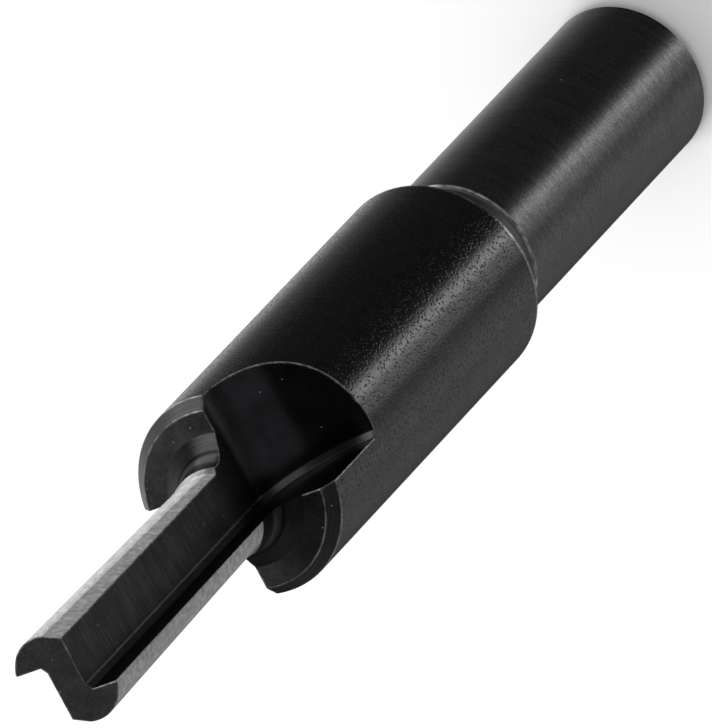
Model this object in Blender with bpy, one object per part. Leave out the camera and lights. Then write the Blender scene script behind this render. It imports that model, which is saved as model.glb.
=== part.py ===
"""Two-flute straight milling cutter for wood, turned and ground from one bar of tool steel.

It stands on the end of its shank with the cutting end up. The origin is the centre of the shank's end
face and the tool's axis is +Z. The flutes are milled along X: each rake face lies in a plane of constant
x, and each flute's floor in a plane of constant y. The tool cuts as it turns counter-clockwise, seen from
its tip. Lengths are in metres.
"""

import math

import bmesh
import bpy
from mathutils import Matrix, Vector

MM = 0.001

# Shank, held in a collet
SHANK_DIAMETER = 8.0 * MM
SHANK_LENGTH = 22.1 * MM
SHANK_CHAMFER = 0.5 * MM

# Grinding relief on the shank, at the body's rear shoulder
RELIEF_WIDTH = 2.08 * MM
RELIEF_DEPTH = 0.12 * MM
RELIEF_RAMP = 0.12 * MM

# Body, thicker than the shank
BODY_DIAMETER = 10.0 * MM
BODY_LENGTH = 22.5 * MM
BODY_CHAMFER = 0.54 * MM

# Cutting part, from the body's front face to the tip
CUTTING_DIAMETER = 5.0 * MM
CUTTING_LENGTH = 17.9 * MM
BACK_TAPER = 0.1 * MM

# Turned transition from the front face to the neck: a shallow cone, then a cove
NECK_DROP = 0.25 * MM
NECK_CONE_WIDTH = 0.74 * MM
NECK_CONE_SLOPE = math.radians(31.0)
COVE_RADIUS = 0.75 * MM

# Flutes, each milled by the side and the end of a chamfered end mill
WEB_THICKNESS = 1.54 * MM
RAKE_ANGLE = math.radians(19.0)
FLUTE_MILL_DIAMETER = 9.6 * MM
FLUTE_MILL_CHAMFER_WIDTH = 0.3 * MM
FLUTE_MILL_CHAMFER_DEPTH = 0.2 * MM
FLUTE_RUN_INTO_BODY = 0.3 * MM

# Lands, relieved by grinding behind each cutting edge: an arc about an offset centre, then a flat facet
LAND_OFFSET_AT_TIP = 0.52 * MM
LAND_OFFSET_AT_NECK = 0.03 * MM
LAND_DROP_AT_TIP = 0.4 * MM
LAND_DROP_AT_NECK = 0.34 * MM
LAND_SWEEP = math.radians(83.0)
LAND_LEAD_IN = math.radians(18.0)
HEEL_TILT = math.radians(5.0)
LAND_STOP = 1.5 * MM
LAND_END_SLANT = math.radians(12.0)
LAND_END_RISE = 0.45 * MM
LAND_END_RUN = 0.36 * MM

# Fineness of the round surfaces
TURNED_STEPS = 128
COVE_STEPS = 12
MILL_STEPS = 40
LAND_STEPS = 28

# How far a cutter reaches past the solid it cuts
CLEAR = 0.8 * MM

body_rear = SHANK_LENGTH
body_front = SHANK_LENGTH + BODY_LENGTH
tip = body_front + CUTTING_LENGTH
land_end = body_front + LAND_STOP


def black_oxide():
    material = bpy.data.materials.new("black_oxide_steel")
    material.use_nodes = True
    shader = material.node_tree.nodes["Principled BSDF"]
    shader.inputs["Base Color"].default_value = (0.030, 0.029, 0.030, 1.0)
    shader.inputs["Metallic"].default_value = 0.6
    shader.inputs["Roughness"].default_value = 0.42
    return material


def link(name, mesh):
    made = bpy.data.objects.new(name, mesh)
    bpy.context.scene.collection.objects.link(made)
    return made


def arc(centre, radius, start, end, steps):
    """Points (u, v) of an arc about centre, from angle start to angle end, both ends included."""
    angles = (start + (end - start) * i / steps for i in range(steps + 1))
    return [(centre[0] + radius * math.cos(a), centre[1] + radius * math.sin(a)) for a in angles]


def turned_profile():
    """Half section (radius, z) of the turned blank, from the tip down its outer side to the shank's end."""
    tip_radius = CUTTING_DIAMETER / 2
    body_radius = BODY_DIAMETER / 2
    shank_radius = SHANK_DIAMETER / 2
    relief_radius = shank_radius - RELIEF_DEPTH
    cove_axis_radius = tip_radius - NECK_DROP + COVE_RADIUS
    cone_radius = cove_axis_radius - COVE_RADIUS * math.sin(NECK_CONE_SLOPE) + NECK_CONE_WIDTH
    cone_top = body_front + NECK_CONE_WIDTH * math.tan(NECK_CONE_SLOPE)
    cove_centre = (cove_axis_radius, cone_top + COVE_RADIUS * math.cos(NECK_CONE_SLOPE))
    return [
        (0.0, tip),
        (tip_radius, tip),
        *arc(cove_centre, COVE_RADIUS, math.pi, 1.5 * math.pi - NECK_CONE_SLOPE, COVE_STEPS),
        (cone_radius, body_front),
        (body_radius - BODY_CHAMFER, body_front),
        (body_radius, body_front - BODY_CHAMFER),
        (body_radius, body_rear),
        (relief_radius, body_rear),
        (relief_radius, body_rear - RELIEF_WIDTH + RELIEF_RAMP),
        (shank_radius, body_rear - RELIEF_WIDTH),
        (shank_radius, SHANK_CHAMFER),
        (shank_radius - SHANK_CHAMFER, 0.0),
        (0.0, 0.0),
    ]


def turned_blank(name):
    """The blank: its half section turned once round the axis."""
    profile = turned_profile()
    mesh = bpy.data.meshes.new(name)
    edges = [(i, i + 1) for i in range(len(profile) - 1)]
    mesh.from_pydata([(radius, 0.0, z) for radius, z in profile], edges, [])
    blank = link(name, mesh)
    turn = blank.modifiers.new("turn", "SCREW")
    turn.steps = TURNED_STEPS
    turn.render_steps = TURNED_STEPS
    turn.use_merge_vertices = True
    turn.merge_threshold = 0.00001
    return blank


def loft(name, rings):
    """A closed solid through rings of equally many points, with flat ends."""
    solid = bmesh.new()
    rows = [[solid.verts.new(point) for point in ring] for ring in rings]
    for low, high in zip(rows, rows[1:]):
        for i in range(len(low)):
            j = (i + 1) % len(low)
            solid.faces.new((low[i], low[j], high[j], high[i]))
    solid.faces.new(rows[0])
    solid.faces.new(rows[-1])
    bmesh.ops.recalc_face_normals(solid, faces=solid.faces)
    mesh = bpy.data.meshes.new(name)
    solid.to_mesh(mesh)
    solid.free()
    return link(name, mesh)


def as_cutter(cutter, turn):
    cutter.rotation_euler.z = turn
    cutter.hide_render = True
    cutter.display_type = "WIRE"
    return cutter


def flute_ring(x, shrink):
    """The outline, at one x, of what the flute's end mill sweeps: straight past the tip, round in the body.

    shrink is how much smaller the mill's radius is at this x than its full radius.
    """
    radius = FLUTE_MILL_DIAMETER / 2
    axis_y = -(WEB_THICKNESS / 2 + radius)
    axis_z = body_front - FLUTE_RUN_INTO_BODY
    reach = radius - shrink
    run_out = arc((axis_y, axis_z), reach, math.pi, 2 * math.pi, MILL_STEPS)
    past_tip = tip + CLEAR
    outline = [*run_out, (axis_y + reach, past_tip), (axis_y - reach, past_tip)]
    return [(x, y, z) for y, z in outline]


def flute_cutter(name, turn):
    """What the end mill removes for one flute: rake face, root chamfer, floor and run-out."""
    rake_x = -CUTTING_DIAMETER / 2 * math.sin(RAKE_ANGLE)
    rings = [
        flute_ring(rake_x, FLUTE_MILL_CHAMFER_DEPTH),
        flute_ring(rake_x + FLUTE_MILL_CHAMFER_WIDTH, 0.0),
        flute_ring(BODY_DIAMETER / 2 + CLEAR, 0.0),
    ]
    return as_cutter(loft(name, rings), turn)


def land_ring(z, rise, slant):
    """The outline near one z of what is ground off behind a cutting edge.

    It is drawn with the cutting edge on +X and the land behind it towards +Y: an arc off the tool's axis,
    a flat facet down to the heel, and back round outside the blank. rise lifts it off the land, and slant
    is how fast z grows from the heel to the edge.
    """
    along = (tip - z) / (tip - land_end)
    offset = LAND_OFFSET_AT_TIP + (LAND_OFFSET_AT_NECK - LAND_OFFSET_AT_TIP) * along
    drop = LAND_DROP_AT_TIP + (LAND_DROP_AT_NECK - LAND_DROP_AT_TIP) * along
    edge = CUTTING_DIAMETER / 2 - BACK_TAPER * along + rise
    land = arc((offset, offset - drop), edge - offset, -LAND_LEAD_IN, LAND_SWEEP, LAND_STEPS)
    outside = CUTTING_DIAMETER / 2 + rise + CLEAR
    past_heel = -CUTTING_DIAMETER / 4
    facet_end = land[-1][1] - (land[-1][0] - past_heel) * math.tan(HEEL_TILT)
    outline = [
        *land,
        (past_heel, facet_end),
        (past_heel, outside),
        (outside, outside),
        (outside, land[0][1]),
    ]
    return [(x, y, z + slant * x) for x, y in outline]


def land_cutter(name, turn):
    """What the grinding wheel removes behind one cutting edge, from past the tip to the neck."""
    mirror = Matrix.Scale(-1.0, 4, Vector((0.0, 1.0, 0.0)))
    slant = math.tan(LAND_END_SLANT)
    rings = [
        land_ring(tip + CLEAR, 0.0, 0.0),
        land_ring(land_end, 0.0, slant),
        land_ring(land_end - LAND_END_RUN, LAND_END_RISE, slant),
    ]
    return as_cutter(loft(name, [[mirror @ Vector(point) for point in ring] for ring in rings]), turn)


def cut(solid, cutters):
    for cutter in cutters:
        modifier = solid.modifiers.new(cutter.name, "BOOLEAN")
        modifier.operation = "DIFFERENCE"
        modifier.solver = "EXACT"
        modifier.object = cutter


def finished(solid, material):
    """The solid with its cuts made, shaded smooth between its sharp edges."""
    bpy.context.view_layer.update()
    graph = bpy.context.evaluated_depsgraph_get()
    mesh = bpy.data.meshes.new_from_object(solid.evaluated_get(graph))
    solid.modifiers.clear()
    solid.data = mesh
    mesh.name = solid.name
    mesh.materials.clear()
    mesh.materials.append(material)
    mesh.shade_smooth()
    mesh.set_sharp_from_angle(angle=math.radians(20.0))


def build():
    for old in list(bpy.data.objects):
        bpy.data.objects.remove(old, do_unlink=True)
    cutter = turned_blank("milling_cutter")
    edge_turn = math.pi / 2 - RAKE_ANGLE
    cutters = []
    for i, turn in enumerate((0.0, math.pi)):
        cutters.append(flute_cutter(f"flute_{i + 1}", turn))
        cutters.append(land_cutter(f"land_{i + 1}", turn + edge_turn))
    cut(cutter, cutters)
    finished(cutter, black_oxide())


build()
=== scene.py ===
import math

import bmesh
import bpy
from mathutils import Matrix, Vector


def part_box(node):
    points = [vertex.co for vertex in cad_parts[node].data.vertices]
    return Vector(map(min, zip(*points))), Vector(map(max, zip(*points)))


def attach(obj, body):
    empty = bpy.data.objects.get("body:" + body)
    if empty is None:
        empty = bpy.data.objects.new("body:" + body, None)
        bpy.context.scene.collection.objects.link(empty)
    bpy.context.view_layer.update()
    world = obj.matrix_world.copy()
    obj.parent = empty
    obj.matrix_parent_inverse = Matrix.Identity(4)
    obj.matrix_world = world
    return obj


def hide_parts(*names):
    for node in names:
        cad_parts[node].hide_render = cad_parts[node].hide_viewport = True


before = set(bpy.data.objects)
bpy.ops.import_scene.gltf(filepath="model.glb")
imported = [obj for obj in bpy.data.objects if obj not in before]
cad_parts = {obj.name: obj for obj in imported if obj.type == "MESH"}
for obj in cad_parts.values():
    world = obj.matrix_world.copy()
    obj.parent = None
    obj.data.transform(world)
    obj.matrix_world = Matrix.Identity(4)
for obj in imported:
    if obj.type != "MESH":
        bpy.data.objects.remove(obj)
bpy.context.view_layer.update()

MM = 0.001

# The tool's sizes, as in its solid. The frame gives the body's diameter and the whole length.
NODE = "milling_cutter"
_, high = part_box(NODE)
tip = high.z
body_radius = high.x
SHANK_RADIUS = 4.0 * MM
SHANK_LENGTH = 22.1 * MM
SHANK_CHAMFER = 0.5 * MM
RELIEF_WIDTH = 2.08 * MM
RELIEF_DEPTH = 0.12 * MM
RELIEF_RAMP = 0.12 * MM
BODY_CHAMFER = 0.54 * MM
CUTTING_RADIUS = 2.5 * MM
CUTTING_LENGTH = 17.9 * MM
BACK_TAPER = 0.1 * MM
NECK_DROP = 0.25 * MM
NECK_CONE_WIDTH = 0.74 * MM
NECK_CONE_SLOPE = math.radians(31.0)
COVE_RADIUS = 0.75 * MM
WEB_THICKNESS = 1.54 * MM
RAKE_ANGLE = math.radians(19.0)
FLUTE_MILL_RADIUS = 4.8 * MM
FLUTE_MILL_CHAMFER_WIDTH = 0.3 * MM
FLUTE_MILL_CHAMFER_DEPTH = 0.2 * MM
FLUTE_RUN_INTO_BODY = 0.3 * MM
LAND_OFFSET_AT_TIP = 0.52 * MM
LAND_OFFSET_AT_NECK = 0.03 * MM
LAND_DROP_AT_TIP = 0.4 * MM
LAND_DROP_AT_NECK = 0.34 * MM
LAND_SWEEP = math.radians(83.0)
HEEL_TILT = math.radians(5.0)
LAND_STOP = 1.5 * MM
LAND_END_SLANT = math.radians(12.0)
LAND_END_RISE = 0.45 * MM
LAND_END_RUN = 0.36 * MM

body_rear = SHANK_LENGTH
body_front = tip - CUTTING_LENGTH
land_end = body_front + LAND_STOP
rake_x = -CUTTING_RADIUS * math.sin(RAKE_ANGLE)
edge_y = CUTTING_RADIUS * math.cos(RAKE_ANGLE)
cove_axis_radius = CUTTING_RADIUS - NECK_DROP + COVE_RADIUS
cone_root_radius = cove_axis_radius - COVE_RADIUS * math.sin(NECK_CONE_SLOPE)
cone_radius = cone_root_radius + NECK_CONE_WIDTH
edge_turn = math.pi / 2 - RAKE_ANGLE

# Below this height the blank keeps its oxide. Above it the grinding wheel has touched all of its side.
GROUND_ABOVE_BODY = 1.9 * MM
ground_low = body_front + GROUND_ABOVE_BODY

# The cutting edges are worn round. The round reaches a hair past the rake face, so the two surfaces cross.
HONE_RADIUS = 0.09 * MM
HONE_OVERLAP = 0.005 * MM

# The turned edges are worn round too, the body's rear rim most
RIM_ROUND = 0.12 * MM
EDGE_ROUND = 0.05 * MM
RAMP_ROUND = 0.25 * MM

# Fineness of the surfaces
TURNED_STEPS = 320
COVE_STEPS = 16
MILL_STEPS = 96
LAND_STEPS = 64
HONE_STEPS = 10
ROUND_STEPS = 6
CLEAR = 0.8 * MM
SHADE_SHARP = math.radians(25.0)

# Camera: where it stands round the point that it looks at, and how it is rolled
AIM = Vector((0.20, 0.08, 30.92)) * MM
CAMERA_DISTANCE = 834.6 * MM
CAMERA_AZIMUTH = math.radians(22.5)
CAMERA_ELEVATION = math.radians(53.56)
CAMERA_ROLL = math.radians(-136.75)
SENSOR_WIDTH = 36.0
LENS = 912.0
CLIP_START = 0.1
CLIP_END = 20.0

SURFACES = [
    "tip_end", "land", "facet", "land_end", "rake_face", "flute_root", "flute_floor", "neck", "front_face",
    "chamfer", "body", "shoulder", "relief", "ramp", "shank", "shank_end", "edge",
]


def slot_of(surface):
    return SURFACES.index(surface)


def link(name, mesh):
    made = bpy.data.objects.new(name, mesh)
    bpy.context.scene.collection.objects.link(made)
    return made


def arc(centre, radius, start, end, steps):
    """Points (u, v) of an arc about centre, from angle start to angle end, both ends included."""
    angles = (start + (end - start) * i / steps for i in range(steps + 1))
    return [(centre[0] + radius * math.cos(a), centre[1] + radius * math.sin(a)) for a in angles]


def turned_corners():
    """Half section of the blank from the tip down: radius, z, its rounding, and the surface that follows."""
    relief_radius = SHANK_RADIUS - RELIEF_DEPTH
    cone_top = body_front + NECK_CONE_WIDTH * math.tan(NECK_CONE_SLOPE)
    cove_centre = (cove_axis_radius, cone_top + COVE_RADIUS * math.cos(NECK_CONE_SLOPE))
    cove = arc(cove_centre, COVE_RADIUS, math.pi, 1.5 * math.pi - NECK_CONE_SLOPE, COVE_STEPS)
    ground_part = (tip - ground_low) / (tip - cove_centre[1])
    return [
        (0.0, tip, 0.0, "tip_end"),
        (CUTTING_RADIUS, tip, 0.0, "land"),
        (CUTTING_RADIUS - NECK_DROP * ground_part, ground_low, 0.0, "neck"),
        *((radius, z, 0.0, "neck") for radius, z in cove),
        (cone_radius, body_front, 0.0, "front_face"),
        (body_radius - BODY_CHAMFER, body_front, EDGE_ROUND, "chamfer"),
        (body_radius, body_front - BODY_CHAMFER, EDGE_ROUND, "body"),
        (body_radius, body_rear, RIM_ROUND, "shoulder"),
        (relief_radius, body_rear, 0.0, "relief"),
        (relief_radius, body_rear - RELIEF_WIDTH + RELIEF_RAMP, RAMP_ROUND / 2, "ramp"),
        (SHANK_RADIUS, body_rear - RELIEF_WIDTH, RAMP_ROUND, "shank"),
        (SHANK_RADIUS, SHANK_CHAMFER, EDGE_ROUND, "shank_end"),
        (SHANK_RADIUS - SHANK_CHAMFER, 0.0, EDGE_ROUND, "shank_end"),
        (0.0, 0.0, 0.0, None),
    ]


def turned_profile():
    """Half section as (radius, z, the surface that follows), with an arc in place of each rounded corner.

    Outer corners are worn round, so their arcs are edges.
    """
    corners = turned_corners()
    points = [Vector((radius, z)) for radius, z, _, _ in corners]
    profile = []
    for i, (radius, z, rounding, surface) in enumerate(corners):
        if not rounding:
            profile.append((radius, z, surface))
            continue
        back = (points[i - 1] - points[i]).normalized()
        onward = (points[i + 1] - points[i]).normalized()
        half = back.angle(onward) / 2
        centre = points[i] + (back + onward).normalized() * rounding / math.sin(half)
        start = points[i] + back * rounding / math.tan(half) - centre
        end = points[i] + onward * rounding / math.tan(half) - centre
        sweep = math.pi - 2 * half
        worn = back.cross(onward) > 0.0
        for step in range(ROUND_STEPS + 1):
            angle = sweep * step / ROUND_STEPS
            spoke = (start * math.sin(sweep - angle) + end * math.sin(angle)) / math.sin(sweep)
            point = centre + spoke
            profile.append((point.x, point.y, "edge" if worn and step < ROUND_STEPS else surface))
    return profile


def turned_blank(name):
    """The blank, as rings of quads between a fan at the tip and a fan at the shank's end."""
    profile = turned_profile()
    solid = bmesh.new()
    rings = []
    for radius, z, _ in profile:
        if radius == 0.0:
            rings.append([solid.verts.new((0.0, 0.0, z))] * TURNED_STEPS)
            continue
        circle = arc((0.0, 0.0), radius, 0.0, 2 * math.pi, TURNED_STEPS)[:-1]
        rings.append([solid.verts.new((x, y, z)) for x, y in circle])
    for (upper, lower), (_, _, surface) in zip(zip(rings, rings[1:]), profile):
        for i in range(TURNED_STEPS):
            j = (i + 1) % TURNED_STEPS
            corners = [upper[i], lower[i], lower[j], upper[j]]
            face = solid.faces.new(list(dict.fromkeys(corners)))
            face.material_index = slot_of(surface)
    return from_bmesh(name, solid)


def from_bmesh(name, solid):
    bmesh.ops.recalc_face_normals(solid, faces=solid.faces)
    mesh = bpy.data.meshes.new(name)
    solid.to_mesh(mesh)
    solid.free()
    return link(name, mesh)


def loft(name, rings, side_surface):
    """A closed solid through rings; side_surface(row, i) names the face over side i of a row."""
    solid = bmesh.new()
    rows = [[solid.verts.new(point) for point in ring] for ring in rings]
    for row, (near, far) in enumerate(zip(rows, rows[1:])):
        for i in range(len(near)):
            j = (i + 1) % len(near)
            face = solid.faces.new((near[i], near[j], far[j], far[i]))
            face.material_index = slot_of(side_surface(row, i))
    first = solid.faces.new(rows[0])
    first.material_index = slot_of(side_surface(-1, 0))
    solid.faces.new(rows[-1])
    return from_bmesh(name, solid)


def flute_ring(x, shrink):
    """The outline, at one x, of what the flute's end mill sweeps."""
    axis_y = -(WEB_THICKNESS / 2 + FLUTE_MILL_RADIUS)
    axis_z = body_front - FLUTE_RUN_INTO_BODY
    reach = FLUTE_MILL_RADIUS - shrink
    run_out = arc((axis_y, axis_z), reach, math.pi, 2 * math.pi, MILL_STEPS)
    past_tip = tip + CLEAR
    outline = [*run_out, (axis_y + reach, past_tip), (axis_y - reach, past_tip)]
    return [(x, y, z) for y, z in outline]


def flute_cutter(name, turn):
    rings = [
        flute_ring(rake_x, FLUTE_MILL_CHAMFER_DEPTH),
        flute_ring(rake_x + FLUTE_MILL_CHAMFER_WIDTH, 0.0),
        flute_ring(body_radius + CLEAR, 0.0),
    ]
    surfaces = {-1: "rake_face", 0: "flute_root", 1: "flute_floor"}
    cutter = loft(name, rings, lambda row, i: surfaces[row])
    cutter.rotation_euler.z = turn
    return cutter


def land_ring(z, rise, slant):
    """The outline near one z of what is ground off behind a cutting edge on +X, with the land towards +Y.

    It starts with the worn round of the edge, which touches the land's arc from inside and crosses the
    rake face.
    """
    along = (tip - z) / (tip - land_end)
    offset = LAND_OFFSET_AT_TIP + (LAND_OFFSET_AT_NECK - LAND_OFFSET_AT_TIP) * along
    drop = LAND_DROP_AT_TIP + (LAND_DROP_AT_NECK - LAND_DROP_AT_TIP) * along
    centre = (offset, offset - drop)
    radius = CUTTING_RADIUS - BACK_TAPER * along + rise - offset
    to_rake = (CUTTING_RADIUS - centre[0]) * math.sin(RAKE_ANGLE) - centre[1] * math.cos(RAKE_ANGLE)
    inner = radius - HONE_RADIUS
    start = math.pi / 2 - RAKE_ANGLE - math.acos((to_rake + HONE_RADIUS - HONE_OVERLAP) / inner)
    hone_centre = (centre[0] + inner * math.cos(start), centre[1] + inner * math.sin(start))
    hone = arc(hone_centre, HONE_RADIUS, -math.pi / 2 - RAKE_ANGLE, start, HONE_STEPS)
    land = arc(centre, radius, start, LAND_SWEEP, LAND_STEPS)
    outside = CUTTING_RADIUS + rise + CLEAR
    past_heel = -CUTTING_RADIUS / 2
    facet_end = land[-1][1] - (land[-1][0] - past_heel) * math.tan(HEEL_TILT)
    before = hone[0][1] - CLEAR * math.cos(RAKE_ANGLE)
    outline = [
        *hone,
        *land[1:],
        (past_heel, facet_end),
        (past_heel, outside),
        (outside, outside),
        (outside, before),
        (hone[0][0] - CLEAR * math.sin(RAKE_ANGLE), before),
    ]
    return [(x, y, z + slant * x) for x, y in outline]


def land_cutter(name, turn):
    mirror = Matrix.Scale(-1.0, 4, Vector((0.0, 1.0, 0.0)))
    slant = math.tan(LAND_END_SLANT)
    rings = [
        land_ring(tip + CLEAR, 0.0, 0.0),
        land_ring(land_end, 0.0, slant),
        land_ring(land_end - LAND_END_RUN, LAND_END_RISE, slant),
    ]
    rings = [[mirror @ Vector(point) for point in ring] for ring in rings]

    def surface(row, i):
        if row != 0:
            return "land_end"
        return "land" if i < HONE_STEPS + LAND_STEPS else "facet"

    cutter = loft(name, rings, surface)
    cutter.rotation_euler.z = turn
    return cutter


def cut(solid, cutters):
    """Takes the cutters out of the solid, and out of the scene."""
    for cutter in cutters:
        modifier = solid.modifiers.new(cutter.name, "BOOLEAN")
        modifier.operation = "DIFFERENCE"
        modifier.solver = "EXACT"
        modifier.object = cutter
    bpy.context.view_layer.update()
    graph = bpy.context.evaluated_depsgraph_get()
    mesh = bpy.data.meshes.new_from_object(solid.evaluated_get(graph))
    solid.modifiers.clear()
    solid.data = mesh
    for cutter in cutters:
        bpy.data.objects.remove(cutter, do_unlink=True)


def shade_smooth(mesh):
    """Smooth, but sharp where the surface bends or another surface starts."""
    mesh.shade_smooth()
    mesh.set_sharp_from_angle(angle=SHADE_SHARP)
    surfaces = {}
    for face in mesh.polygons:
        for key in face.edge_keys:
            surfaces.setdefault(key, set()).add(face.material_index)
    for edge in mesh.edges:
        if len(surfaces[edge.key]) > 1:
            edge.use_edge_sharp = True


def is_socket(value):
    return isinstance(value, bpy.types.NodeSocket)


class Nodes:
    """A node tree that is built by calls. Each adds nodes and gives back the socket with their result."""

    def __init__(self, tree):
        self.tree = tree

    def add(self, kind, **settings):
        node = self.tree.nodes.new(kind)
        for setting, value in settings.items():
            setattr(node, setting, value)
        return node

    def feed(self, socket, value):
        if is_socket(value):
            self.tree.links.new(value, socket)
        else:
            socket.default_value = value

    def number(self, operation, *values):
        node = self.add("ShaderNodeMath", operation=operation)
        for socket, value in zip(node.inputs, values):
            self.feed(socket, value)
        return node.outputs[0]

    def vector(self, operation, *values, scale=None):
        node = self.add("ShaderNodeVectorMath", operation=operation)
        for socket, value in zip(node.inputs, values):
            self.feed(socket, value)
        if scale is not None:
            self.feed(node.inputs["Scale"], scale)
        return node.outputs["Value" if operation in ("DOT_PRODUCT", "LENGTH") else "Vector"]

    def parts(self, vector):
        node = self.add("ShaderNodeSeparateXYZ")
        self.feed(node.inputs[0], vector)
        return node.outputs[0], node.outputs[1], node.outputs[2]

    def joined(self, x, y, z):
        node = self.add("ShaderNodeCombineXYZ")
        for socket, value in zip(node.inputs, (x, y, z)):
            self.feed(socket, value)
        return node.outputs[0]

    def ease(self, value, start, end, first=0.0, last=1.0):
        """Goes smoothly from first, where value is at start, to last, where it is at end."""
        if start > end:
            start, end, first, last = end, start, last, first
        node = self.add("ShaderNodeMapRange", interpolation_type="SMOOTHSTEP")
        for socket, given in zip(node.inputs, (value, start, end, first, last)):
            self.feed(socket, given)
        return node.outputs[0]

    def mixed(self, mask, first, second, kind="Float"):
        """first where mask is 0, second where it is 1. kind is Float for numbers and Color for colours."""
        node = self.add("ShaderNodeMix", data_type="RGBA" if kind == "Color" else "FLOAT")
        sockets = {socket.identifier: socket for socket in (*node.inputs, *node.outputs)}
        self.feed(sockets["Factor_Float"], mask)
        self.feed(sockets[f"A_{kind}"], first)
        self.feed(sockets[f"B_{kind}"], second)
        return sockets[f"Result_{kind}"]


# On a sharp edge the rounded normal turns away from the straight one. Their dot product, off it and on it:
OFF_EDGE = 0.995
ON_EDGE = 0.955
BEVEL_SAMPLES = 6


class Steel(Nodes):
    """A metal's material. Positions and widths in it are in millimetres of the tool."""

    def __init__(self, name, colour, roughness):
        self.material = bpy.data.materials.new(name)
        self.material.use_nodes = True
        super().__init__(self.material.node_tree)
        self.shader = self.tree.nodes["Principled BSDF"]
        self.metallic = 1.0
        self.roughness = roughness
        coordinates = self.add("ShaderNodeTexCoord")
        self.facing = coordinates.outputs["Normal"]
        self.place = self.vector("SCALE", coordinates.outputs["Object"], scale=1 / MM)
        self.x, self.y, self.z = self.parts(self.place)
        self.radius = self.vector("LENGTH", self.joined(self.x, self.y, 0.0))
        self.colour = self.vector("SCALE", colour, scale=1.0)
        self.normal = None

    def noise(self, period, detail=2.0, along=(1.0, 1.0, 1.0), place=None, shift=0.0):
        """Noise from 0 to 1, its blotches about one period wide, and longer where along is under 1."""
        node = self.add("ShaderNodeTexNoise")
        stretched = self.vector("MULTIPLY", place or self.place, along)
        self.feed(node.inputs["Vector"], self.vector("ADD", stretched, (shift, shift, shift)))
        node.inputs["Scale"].default_value = 1 / period
        node.inputs["Detail"].default_value = detail
        return node.outputs[0]

    def turned_lines(self, period, detail, length):
        """Lines round the axis, as a lathe or a grinding wheel leaves them, about length periods long."""
        around = self.number("DIVIDE", self.number("SUBTRACT", self.x, self.y), length)
        place = self.joined(self.radius, self.z, around)
        return self.noise(period, detail, place=place)

    def milled_lines(self, period, detail, length):
        """Straight lines along X, as the flute's end mill leaves them, about length periods long."""
        return self.noise(period, detail, along=(1 / length, 1.0, 1.0))

    def spots(self, spacing, radius, share, blur=0.5, shift=0.0):
        """1 inside round spots and 0 outside. share is how many of the places on the grid have a spot."""
        node = self.add("ShaderNodeTexVoronoi")
        self.feed(node.inputs["Vector"], self.vector("ADD", self.place, (shift, shift, shift)))
        node.inputs["Scale"].default_value = 1 / spacing
        reach = radius / spacing
        inside = self.ease(node.outputs["Distance"], reach, reach * (1 - blur))
        lot, _, _ = self.parts(node.outputs["Color"])
        return self.number("MULTIPLY", inside, self.number("LESS_THAN", lot, share))

    def round_edges(self, width):
        """Shades the solid's sharp edges as round. Gives 1 on them and 0 from about that width inwards."""
        rounded = self.add("ShaderNodeBevel", samples=BEVEL_SAMPLES)
        rounded.inputs["Radius"].default_value = width * MM
        self.normal = rounded.outputs[0]
        straight = self.add("ShaderNodeNewGeometry").outputs["Normal"]
        agreement = self.vector("DOT_PRODUCT", self.normal, straight)
        return self.ease(agreement, OFF_EDGE, ON_EDGE)

    def shade(self, *factors):
        for factor in factors:
            self.colour = self.vector("SCALE", self.colour, scale=factor)

    def paint(self, mask, colour, roughness, metallic=1.0):
        """Lays another finish over this one where mask is 1."""
        self.colour = self.mixed(mask, self.colour, (*colour, 1.0), "Color")
        self.roughness = self.mixed(mask, self.roughness, roughness)
        if metallic != self.metallic:
            self.metallic = self.mixed(mask, self.metallic, metallic)

    def relief(self, height, depth):
        """Bumps as deep as that where height goes from 0 to 1."""
        node = self.add("ShaderNodeBump")
        node.inputs["Distance"].default_value = depth * MM
        self.feed(node.inputs["Height"], height)
        if self.normal is not None:
            self.feed(node.inputs["Normal"], self.normal)
        self.normal = node.outputs[0]

    def draw_out(self, anisotropy):
        """Draws what the steel mirrors out across its fine lines, which run round the axis."""
        tangent = self.add("ShaderNodeTangent", direction_type="RADIAL", axis="Z")
        self.feed(self.shader.inputs["Tangent"], tangent.outputs[0])
        self.shader.inputs["Anisotropic"].default_value = anisotropy
        self.shader.inputs["Anisotropic Rotation"].default_value = 0.25

    def finish(self):
        self.feed(self.shader.inputs["Base Color"], self.colour)
        self.feed(self.shader.inputs["Roughness"], self.roughness)
        self.feed(self.shader.inputs["Metallic"], self.metallic)
        if self.normal is not None:
            self.feed(self.shader.inputs["Normal"], self.normal)
        return self.material


# Colours
OXIDE = (0.055, 0.054, 0.055)
MILLED_OXIDE = (0.051, 0.053, 0.057)
BARE_STEEL = (0.61, 0.61, 0.605)
DUST = (0.18, 0.175, 0.17)

# Roughness. Worn steel has lost its oxide, and rubbed steel only a part of it.
BODY_ROUGHNESS = 0.205
PIT_ROUGHNESS = 0.5
SHANK_ROUGHNESS = 0.3
NECK_ROUGHNESS = 0.27
RUBBED_ROUGHNESS = 0.3
WORN_ROUGHNESS = 0.5
DUST_ROUGHNESS = 0.9

# How far the fine lines draw out what the steel mirrors
SHANK_ANISOTROPY = 0.3
FRONT_ANISOTROPY = 0.4
NECK_ANISOTROPY = 0.8
GROUND_ANISOTROPY = 0.7

# Fine marks on the steel, in millimetres. Each depth is that of the relief that the marks have.
PIT_SPACING = 0.17
PIT_RADIUS = 0.085
PIT_DEPTH = 0.0075
SHANK_LINE_DEPTH = 0.006
TURNED_LINE_DEPTH = 0.003
GROUND_LINE_DEPTH = 0.003
FACE_LINE_DEPTH = 0.001
MILLED_LINE_DEPTH = 0.001
DUST_SPACING = 0.4
DUST_RADIUS = 0.045
EDGE_WIDTH = 0.15
RIM_WEAR = 0.16

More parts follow.
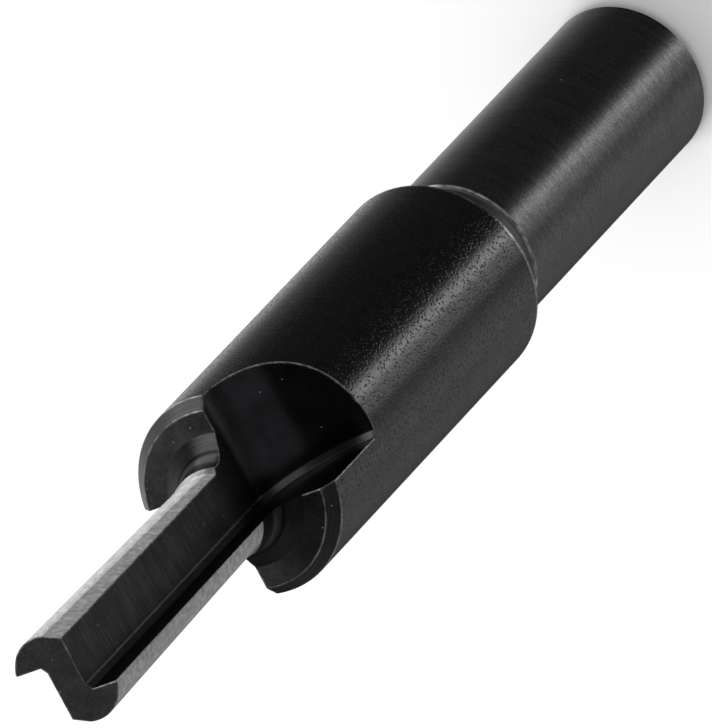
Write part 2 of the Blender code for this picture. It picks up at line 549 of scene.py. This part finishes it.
# Where a finish, or painted light or shade, changes, in millimetres: where the change starts and where it is
# complete
# How far the neck's painted shade line reaches from where the cone and the cove meet
OFF_NECK_SHADE_LINE = (0.04, 0.1)
BEYOND_CONE = (cone_radius / MM + 0.08, cone_radius / MM + 0.15)
# Where the front face's painted shade on its -Y side goes over into its painted light on its +Y side
PAINTED_SHADE_SIDES = (-2.5, 1.5)
OUT_OF_BODY = (-1.0, 1.0)
STREAKS_START = (0.0, 2.5)
# Where the painted shade in the milled faces' bend starts and where it ends
SHADED_BEND_START = (-0.2, -0.7)
SHADED_BEND_END = (0.5, 3.0)
OFF_ROOT = (0.8, 1.0)
GROUND_BARE = (edge_y / MM + 0.07, edge_y / MM + 0.1)

# The same, as the share of a surface's normal that points one way
# Where the painted highlight on the shank's +X side starts and where it is complete
PAINTED_HIGHLIGHT_SIDE = (0.88, 0.995)
LAND_BORDER = (0.03, 0.06)

# Most of a noise's values lie between these two.
MIDDLE = (0.35, 0.65)


def dust(steel, share):
    """Pale specks, which aren't metal. share is how many of their places have one."""
    steel.paint(steel.spots(DUST_SPACING, DUST_RADIUS, share, shift=3.0), DUST, DUST_ROUGHNESS, 0.0)


def patchy(steel, least, most):
    """Goes from least to most from place to place, in ragged patches."""
    return steel.ease(steel.noise(0.4, 4.0, shift=8.0), *MIDDLE, least, most)


def wear(steel, where, amount):
    """Bare steel where the oxide is worn off, here more and there less."""
    mask = steel.number("MULTIPLY", where, patchy(steel, 0.3 * amount, amount))
    steel.paint(mask, BARE_STEEL, WORN_ROUGHNESS)


def rub(steel, amount=0.9, where=1.0):
    """Wears the oxide off the solid's sharp edges. where is 1 on the places that are rubbed."""
    wear(steel, steel.number("MULTIPLY", steel.round_edges(EDGE_WIDTH), where), amount)


def body_oxide():
    """Oxide on a skin that is finely pitted, rougher in the pits, with a slight ripple between them."""
    steel = Steel("body", OXIDE, BODY_ROUGHNESS)
    pits = steel.spots(PIT_SPACING, PIT_RADIUS, 0.95, blur=0.9)
    ripple = steel.noise(0.1, 2.0)
    swell = steel.noise(0.4, 2.0, shift=7.0)
    blotch = steel.noise(0.8, 3.0, shift=2.0)
    steel.paint(pits, OXIDE, PIT_ROUGHNESS)
    steel.shade(0.97, steel.ease(pits, 0.0, 1.0, 1.08, 0.62), steel.ease(blotch, *MIDDLE, 0.93, 1.07))
    steel.shade(steel.ease(ripple, *MIDDLE, 0.78, 1.22))
    dust(steel, 0.006)
    rub(steel)
    above_rear = steel.number("SUBTRACT", steel.z, (body_rear + RIM_ROUND) / MM)
    wear(steel, steel.ease(above_rear, RIM_WEAR, 0.6 * RIM_WEAR), 0.5)
    height = steel.number("MULTIPLY_ADD", pits, -1.0, steel.number("MULTIPLY", ripple, 0.5))
    steel.relief(steel.number("MULTIPLY_ADD", swell, 0.5, height), PIT_DEPTH)
    return steel.finish()


def shank_oxide():
    """Oxide on a ground cylinder, with a painted highlight that makes its +X side a little lighter."""
    steel = Steel("shank", OXIDE, SHANK_ROUGHNESS)
    lines = steel.turned_lines(0.12, 3.0, length=5.0)
    grain = steel.noise(0.1, 2.0, shift=5.0)
    cloud = steel.noise(2.0, 3.0, shift=9.0)
    scratch = steel.noise(0.5, 1.0, along=(1.0, 1.0, 0.04), shift=11.0)
    steel.shade(1.65, steel.ease(lines, *MIDDLE, 0.82, 1.2), steel.ease(grain, *MIDDLE, 0.78, 1.24))
    steel.shade(steel.ease(cloud, *MIDDLE, 0.95, 1.05), steel.ease(scratch, 0.78, 0.82, 1.0, 1.8))
    # Painted highlight: lighter where the normal points towards +X.
    steel.shade(steel.ease(steel.parts(steel.facing)[0], *PAINTED_HIGHLIGHT_SIDE, 1.0, 1.7))
    dust(steel, 0.006)
    steel.relief(steel.number("MULTIPLY_ADD", lines, 0.5, grain), SHANK_LINE_DEPTH)
    steel.draw_out(SHANK_ANISOTROPY)
    return steel.finish()


def faced_oxide(name, share, roughness=0.3, painted_light_shade=1.0, painted_dark_shade=1.0, anisotropy=0.0):
    """Oxide on a face that was turned flat. share is how many of the dust's places have a speck.

    Its two side shades are painted light on its +Y side and painted shade on its -Y side, where the cutting
    part shades the face. The tip's face is rubbed on all its edges, and the body's on its outer ones.
    """
    steel = Steel(name, OXIDE, roughness)
    cloud = steel.noise(0.8, 4.0)
    lines = steel.turned_lines(0.12, 2.0, length=20.0)
    grain = steel.noise(0.13, 2.0, shift=5.0)
    # Painted light on the +Y side and painted shade on the -Y side, which the cutting part shades.
    steel.shade(steel.ease(steel.y, *PAINTED_SHADE_SIDES, painted_dark_shade, painted_light_shade), steel.ease(grain, *MIDDLE, 0.88, 1.15))
    steel.shade(steel.ease(cloud, *MIDDLE, 0.88, 1.15), steel.ease(lines, *MIDDLE, 0.96, 1.04))
    dust(steel, share)
    at_tip = steel.number("GREATER_THAN", steel.z, ground_low / MM)
    rub(steel, where=steel.number("MAXIMUM", steel.ease(steel.radius, *BEYOND_CONE), at_tip))
    steel.relief(steel.number("ADD", lines, grain), FACE_LINE_DEPTH)
    steel.draw_out(anisotropy)
    return steel.finish()


def turned_oxide(name, shade=1.0, roughness=0.3, worn=0.0):
    """Oxide on a turned surface whose tool marks still show. worn is how bare its sharp edges are."""
    steel = Steel(name, OXIDE, roughness)
    lines = steel.turned_lines(0.11, 2.0, length=12.0)
    steel.shade(shade, steel.ease(lines, *MIDDLE, 0.85, 1.15))
    dust(steel, 0.1)
    if worn > 0.0:
        rub(steel, worn)
    steel.relief(lines, TURNED_LINE_DEPTH)
    return steel


def neck_oxide():
    """The cone and the cove, with a line of painted shade in the hollow where they meet."""
    steel = turned_oxide("neck", 0.9, NECK_ROUGHNESS)
    steel.draw_out(NECK_ANISOTROPY)
    # Painted shade: a dark line in the hollow where the cone and the cove meet.
    from_shade_line = steel.number("ABSOLUTE", steel.number("SUBTRACT", steel.radius, cone_root_radius / MM))
    steel.shade(steel.ease(from_shade_line, *OFF_NECK_SHADE_LINE, 0.4, 1.0))
    return steel.finish()


def edge_oxide():
    """The worn rounds of the turned edges, where the oxide is thin."""
    steel = Steel("edge", OXIDE, RUBBED_ROUGHNESS)
    steel.paint(patchy(steel, 0.2, 0.6), BARE_STEEL, RUBBED_ROUGHNESS)
    return steel.finish()


def milled_oxide(name, shade=1.0, roughness=0.35, streak=0.3):
    """Oxide on a milled face, with lines along X that show as much as streak and a slight wave.

    It is smoother in the body, where the mill's end cut it, and has painted shade where it bends out of the
    body.
    """
    steel = Steel(name, MILLED_OXIDE, roughness)
    height = steel.number("SUBTRACT", steel.z, body_front / MM)
    steel.roughness = steel.ease(height, *OUT_OF_BODY, 0.6 * roughness, roughness)
    lines = steel.milled_lines(0.1, 4.0, length=14.0)
    cloud = steel.noise(1.2, 4.0, shift=4.0)
    wave = steel.noise(0.9, 3.0, shift=2.0)
    share = steel.ease(height, *STREAKS_START, 0.2, 1.0)
    streaks = steel.mixed(share, 1.0, steel.ease(lines, *MIDDLE, 1 - streak, 1 + streak))
    # Painted shade: darker in the hollow where the face bends out of the body.
    off_shaded_bend = steel.number("MAXIMUM", steel.ease(height, *SHADED_BEND_START), steel.ease(height, *SHADED_BEND_END))
    steel.shade(shade, streaks, steel.ease(cloud, *MIDDLE, 0.85, 1.2))
    steel.shade(steel.ease(off_shaded_bend, 0.0, 1.0, 0.25, 1.0))
    dust(steel, 0.07)
    rub(steel, where=steel.ease(steel.number("ABSOLUTE", steel.x), *OFF_ROOT, 0.03, 1.0))
    steel.relief(steel.number("MULTIPLY_ADD", wave, 7.0, lines), MILLED_LINE_DEPTH)
    return steel


def rake_oxide():
    """The milled rake face. Grinding the land has left the steel bare in a ragged line along the edge."""
    steel = milled_oxide("rake_face", 0.5)
    edge_slope = NECK_DROP / (tip - body_front)
    from_tip = steel.number("SUBTRACT", tip / MM, steel.z)
    reach = steel.number("MULTIPLY_ADD", from_tip, edge_slope, steel.number("ABSOLUTE", steel.y))
    ragged = steel.number("MULTIPLY_ADD", steel.noise(0.25, 3.0, shift=1.0), 0.3, reach)
    on_edge = steel.number("GREATER_THAN", steel.z, ground_low / MM)
    bare = steel.number("MULTIPLY", steel.ease(ragged, *GROUND_BARE), on_edge)
    steel.paint(bare, BARE_STEEL, WORN_ROUGHNESS)
    return steel.finish()


# The facet is duller than the land before it, and the border between them is ragged.
FACET_SHADE = 0.95
BORDER_RAGGED = 0.12


def ground_steel(name, shade=1.0, roughness=0.55):
    """Bare steel with grinding lines across it."""
    steel = Steel(name, BARE_STEEL, roughness)
    lines = steel.turned_lines(0.12, 3.0, length=6.0)
    mottle = steel.noise(0.25, 4.0, shift=6.0)
    steel.shade(shade, steel.ease(lines, *MIDDLE, 0.9, 1.08), steel.ease(mottle, *MIDDLE, 0.84, 1.14))
    steel.relief(steel.number("ADD", lines, mottle), GROUND_LINE_DEPTH)
    steel.draw_out(GROUND_ANISOTROPY)
    return steel


def land_steel():
    """The land, which takes the facet's duller shade where its side bends down to it."""
    steel = ground_steel("land")
    along = edge_turn - LAND_SWEEP + math.pi / 2
    from_border = steel.vector("DOT_PRODUCT", steel.facing, (math.cos(along), math.sin(along), 0.0))
    noise = steel.number("SUBTRACT", steel.noise(0.3, 4.0, shift=12.0), 0.5)
    ragged = steel.number("MULTIPLY_ADD", noise, BORDER_RAGGED, steel.number("ABSOLUTE", from_border))
    steel.shade(steel.ease(ragged, *LAND_BORDER, FACET_SHADE, 1.0))
    return steel.finish()


def materials():
    """One material for each surface, in the order of SURFACES."""
    made = {
        "tip_end": faced_oxide("tip_end", 0.6),
        "land": land_steel(),
        "facet": ground_steel("facet", FACET_SHADE, roughness=0.65).finish(),
        "land_end": ground_steel("land_end", 0.9).finish(),
        "rake_face": rake_oxide(),
        "flute_root": milled_oxide("flute_root", 1.15, streak=0.05).finish(),
        "flute_floor": milled_oxide("flute_floor", 0.47).finish(),
        "neck": neck_oxide(),
        # The front face's 1.4 and 0.4 are its painted light on +Y and its painted shade on -Y.
        "front_face": faced_oxide("front_face", 0.25, 0.4, 1.4, 0.4, FRONT_ANISOTROPY),
        "chamfer": turned_oxide("chamfer", worn=0.8).finish(),
        "body": body_oxide(),
        "shoulder": turned_oxide("shoulder").finish(),
        "relief": turned_oxide("relief", 1.8, roughness=0.5).finish(),
        "ramp": turned_oxide("ramp", 3.0, roughness=0.6).finish(),
        "shank": shank_oxide(),
        "shank_end": turned_oxide("shank_end").finish(),
        "edge": edge_oxide(),
    }
    return [made[surface] for surface in SURFACES]


def cutter_piece():
    piece = turned_blank("cutter")
    flutes = [flute_cutter(f"flute_{i}", i * math.pi) for i in range(2)]
    lands = [land_cutter(f"land_{i}", i * math.pi + edge_turn) for i in range(2)]
    cutters = [*flutes, *lands]
    finishes = materials()
    for solid in (piece, *cutters):
        for finish in finishes:
            solid.data.materials.append(finish)
    cut(piece, cutters)
    shade_smooth(piece.data)
    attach(piece, "root")
    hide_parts(NODE)


# The floor, and what is white
WHITE = (1.0, 1.0, 1.0, 1.0)
FLOOR_SIZE = 6.0
FLOOR_ROUGHNESS = 0.8


def stage():
    """A white floor. The steel doesn't mirror it, because it mirrors the studio instead."""
    bpy.ops.mesh.primitive_plane_add(size=FLOOR_SIZE)
    floor = bpy.context.object
    floor.name = "floor"
    material = bpy.data.materials.new("white_floor")
    material.use_nodes = True
    shader = material.node_tree.nodes["Principled BSDF"]
    shader.inputs["Base Color"].default_value = WHITE
    shader.inputs["Roughness"].default_value = FLOOR_ROUGHNESS
    shader.inputs["Specular IOR Level"].default_value = 0.0
    floor.data.materials.append(material)
    floor.visible_glossy = False


# What the steel mirrors: panels of light, in degrees of azimuth from the camera, which grows anticlockwise
# seen from above, and of elevation. Each fades out over its edge at the sides, and over its fade above and
# below.
FILL = 0.072
NADIR = -110.0
PANELS = [
    # azimuth, half width, edge, lowest, highest, fade, radiance
    (-16.0, 2.5, 6.0, NADIR, -43.0, 4.0, 3.4),
    (-31.0, 10.0, 5.0, NADIR, -43.0, 5.0, 1.0),
    (-72.0, 8.0, 22.0, NADIR, -40.0, 8.0, 0.26),
    (-92.0, 5.0, 68.0, NADIR, -38.0, 8.0, 0.28),
    (-105.0, 15.0, 25.0, -36.0, -8.0, 8.0, 0.6),
    (-60.0, 60.0, 40.0, -20.0, 28.0, 8.0, 0.14),
    (-38.0, 10.0, 8.0, -43.0, 34.0, 4.0, 0.2),
    (160.0, 6.0, 30.0, NADIR, -38.0, 8.0, 0.55),
    (130.0, 10.0, 30.0, NADIR, -38.0, 8.0, 0.1),
    (142.0, 22.0, 28.0, -34.0, 14.0, 8.0, 0.85),
    (99.0, 13.0, 9.0, -30.0, 70.0, 6.0, 1.9),
    (180.0, 40.0, 30.0, 40.0, 64.0, 6.0, 0.45),
    (38.0, 25.0, 25.0, -26.0, 10.0, 8.0, 0.5),
]

# How bright the plain world is, as a light and to the camera
FILL_LIGHT = 0.7
BACKGROUND = 1.0


def panel_light(sky):
    """How bright the panels are in the direction that is looked at."""
    x, y, z = sky.parts(sky.add("ShaderNodeTexCoord").outputs["Generated"])
    turn = sky.number("DEGREES", sky.number("ARCTAN2", x, sky.number("MULTIPLY", y, -1.0)))
    azimuth = sky.number("SUBTRACT", turn, math.degrees(CAMERA_AZIMUTH))
    elevation = sky.number("DEGREES", sky.number("ARCSINE", z))
    level = FILL
    for centre, half, edge, lowest, highest, fade, radiance in PANELS:
        aside = sky.number("WRAP", sky.number("SUBTRACT", azimuth, centre), 180.0, -180.0)
        across = sky.ease(sky.number("ABSOLUTE", aside), half + edge, half)
        above = sky.ease(elevation, lowest - fade, lowest + fade)
        below = sky.ease(elevation, highest + fade, highest - fade)
        lit = sky.number("MULTIPLY", across, sky.number("MULTIPLY", above, below))
        level = sky.number("MULTIPLY_ADD", lit, radiance, level)
    return level


def white_light(sky, strength):
    node = sky.add("ShaderNodeBackground")
    node.inputs["Color"].default_value = WHITE
    sky.feed(node.inputs["Strength"], strength)
    return node.outputs[0]


def studio():
    """A world that is plain white, and brighter to the camera, but the steel mirrors the panels."""
    world = bpy.data.worlds.new("studio")
    bpy.context.scene.world = world
    world.use_nodes = True
    world.node_tree.nodes.clear()
    sky = Nodes(world.node_tree)
    ray = sky.add("ShaderNodeLightPath")
    plain = sky.mixed(ray.outputs["Is Camera Ray"], FILL_LIGHT, BACKGROUND)
    mix = sky.add("ShaderNodeMixShader")
    sky.feed(mix.inputs["Fac"], ray.outputs["Is Glossy Ray"])
    sky.feed(mix.inputs[1], white_light(sky, plain))
    sky.feed(mix.inputs[2], white_light(sky, panel_light(sky)))
    sky.feed(sky.add("ShaderNodeOutputWorld").inputs["Surface"], mix.outputs[0])


def towards(azimuth, elevation):
    """The unit vector at those angles in radians; azimuth 0 is -Y, and it grows towards +X."""
    level = math.cos(elevation)
    return Vector((math.sin(azimuth) * level, -math.cos(azimuth) * level, math.sin(elevation)))


# A soft lamp behind the tool, for the floor's light and its shadow
LAMP_AZIMUTH = math.radians(-160.0)
LAMP_ELEVATION = math.radians(50.0)
LAMP_DISTANCE = 1.5
LAMP_SIZE = 0.8
LAMP_POWER = 12.0


def lamp():
    data = bpy.data.lights.new("key", "AREA")
    data.shape = "SQUARE"
    data.size = LAMP_SIZE
    data.energy = LAMP_POWER
    made = link("key", data)
    away = towards(LAMP_AZIMUTH, LAMP_ELEVATION)
    made.location = away * LAMP_DISTANCE
    made.rotation_mode = "QUATERNION"
    made.rotation_quaternion = away.to_track_quat("Z", "Y")
    made.visible_glossy = False


def camera():
    data = bpy.data.cameras.new("camera")
    made = link("camera", data)
    data.sensor_width = SENSOR_WIDTH
    data.lens = LENS
    data.clip_start = CLIP_START
    data.clip_end = CLIP_END
    back = towards(CAMERA_AZIMUTH, CAMERA_ELEVATION)
    level_right = Vector((math.cos(CAMERA_AZIMUTH), math.sin(CAMERA_AZIMUTH), 0.0))
    level_up = back.cross(level_right)
    right = level_right * math.cos(CAMERA_ROLL) + level_up * math.sin(CAMERA_ROLL)
    up = back.cross(right)
    axes = Matrix((right, up, back)).transposed()
    made.matrix_world = Matrix.Translation(AIM + back * CAMERA_DISTANCE) @ axes.to_4x4()
    bpy.context.scene.camera = made


cutter_piece()
stage()
studio()
lamp()
camera()
bpy.context.scene.view_settings.view_transform = "Standard"
